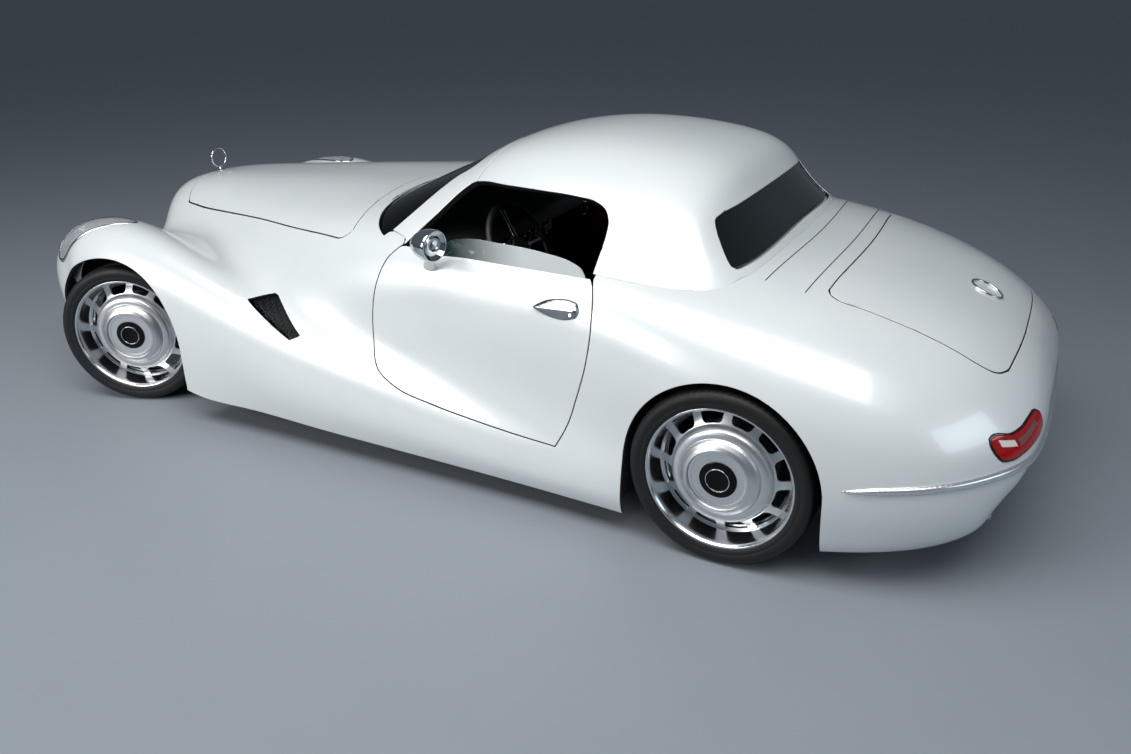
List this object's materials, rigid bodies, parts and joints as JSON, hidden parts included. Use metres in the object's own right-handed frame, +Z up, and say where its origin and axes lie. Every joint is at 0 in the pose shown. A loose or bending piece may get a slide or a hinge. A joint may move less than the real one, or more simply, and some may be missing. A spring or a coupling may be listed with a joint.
{
  "type": "roadster convertible",
  "caption": "A two-seat roadster with a long bonnet, oval headlamps, an upright barred grille, long flowing wings and its hard top in place, front wheels turned to its left.",
  "frame": {"origin": "centre of the footprint on the ground", "axes": "+X to the car's left, -Y to the front, +Z up"},
  "size_m": [2.0358, 4.2488, 1.2575],
  "materials": {
    "body_paint": "pearl gloss",
    "roof_paint": "pearl gloss",
    "glass": "clear",
    "lamp_glass": "clear",
    "lamp_red": "gloss",
    "bright": "polished",
    "alloy": "satin",
    "steel": "satin",
    "iron": "matte",
    "tyre": "matte",
    "underbody": "matte",
    "leather": "grained",
    "trim": "grained"
  },
  "bodies": {
    "body": {"front_wing_left": "body_paint", "front_wing_right": "body_paint", "nose": "body_paint", "scuttle": "body_paint", "quarter_left": "body_paint", "quarter_right": "body_paint", "rear_deck": "body_paint", "tail_panel": "body_paint", "windscreen": "glass", "suspension": "steel", "chassis": "underbody", "engine": "iron", "cabin_tub": "trim", "dashboard": "trim", "seats": "leather", "arch_liners": "underbody", "boot_tub": "underbody", "exhaust": "steel", "bumper": "bright", "mascot": "bright", "grille": "bright", "headlamps": "lamp_glass", "tail_lamps": "lamp_red", "side_vents": "steel"},
    "bonnet": {"bonnet": "body_paint"},
    "boot_lid": {"boot_lid": "body_paint"},
    "hard_top": {"hard_top": "roof_paint", "rear_window": "glass"},
    "door_left": {"door_left": "body_paint", "door_glass_left": "glass", "door_fittings_left": "bright"},
    "door_right": {"door_right": "body_paint", "door_glass_right": "glass", "door_fittings_right": "bright"},
    "knuckle_left": {"knuckle_left": "steel"},
    "knuckle_right": {"knuckle_right": "steel"},
    "steering_wheel": {"steering_wheel": "leather"},
    "wheel_front_left": {"wheel_front_left": "alloy", "tyre_front_left": "tyre"},
    "wheel_front_right": {"wheel_front_right": "alloy", "tyre_front_right": "tyre"},
    "wheel_rear_left": {"wheel_rear_left": "alloy", "tyre_rear_left": "tyre"},
    "wheel_rear_right": {"wheel_rear_right": "alloy", "tyre_rear_right": "tyre"}
  },
  "joints": [
    {"name": "steer_left", "type": "hinge", "parent": "body", "child": "knuckle_left", "pos_m": [0.755, -1.5985, 0.315], "axis": [0, 0, 1], "range_deg": [-57.5, 12.5]},
    {"name": "steer_right", "type": "hinge", "parent": "body", "child": "knuckle_right", "pos_m": [-0.755, -1.5985, 0.315], "axis": [0, 0, 1], "range_deg": [-57.5, 12.5]},
    {"name": "spin_front_left", "type": "hinge", "parent": "knuckle_left", "child": "wheel_front_left", "pos_m": [0.755, -1.5985, 0.315], "axis": [0.9239, 0.3827, 0], "continuous": true},
    {"name": "spin_front_right", "type": "hinge", "parent": "knuckle_right", "child": "wheel_front_right", "pos_m": [-0.755, -1.5985, 0.315], "axis": [0.9239, 0.3827, 0], "continuous": true},
    {"name": "spin_rear_left", "type": "hinge", "parent": "body", "child": "wheel_rear_left", "pos_m": [0.81, 1.2025, 0.315], "axis": [1, 0, 0], "continuous": true},
    {"name": "spin_rear_right", "type": "hinge", "parent": "body", "child": "wheel_rear_right", "pos_m": [-0.81, 1.2025, 0.315], "axis": [1, 0, 0], "continuous": true},
    {"name": "steering_wheel_turn", "type": "hinge", "parent": "body", "child": "steering_wheel", "pos_m": [0.37, 0.167, 0.8], "axis": [0, 0.8829, 0.4695], "range_deg": [-920, 200]},
    {"name": "door_left_hinge", "type": "hinge", "parent": "body", "child": "door_left", "pos_m": [0.893, -0.148, 0.55], "axis": [0, 0, -1], "range_deg": [0, 62]},
    {"name": "door_right_hinge", "type": "hinge", "parent": "body", "child": "door_right", "pos_m": [-0.893, -0.148, 0.55], "axis": [0, 0, 1], "range_deg": [0, 62]},
    {"name": "bonnet_hinge", "type": "hinge", "parent": "body", "child": "bonnet", "pos_m": [0, -0.368, 0.955], "axis": [-1, 0, 0], "range_deg": [0, 55]},
    {"name": "boot_hinge", "type": "hinge", "parent": "body", "child": "boot_lid", "pos_m": [0, 1.397, 0.893], "axis": [1, 0, 0], "range_deg": [0, 75]},
    {"name": "hard_top_lift", "type": "slide", "parent": "body", "child": "hard_top", "axis": [0, 0, 1], "range_m": [0, 0.45]}
  ],
  "couplings": [
    {"joint": "steer_right", "follows": "steer_left", "ratio": 1},
    {"joint": "steering_wheel_turn", "follows": "steer_left", "ratio": 16}
  ]
}
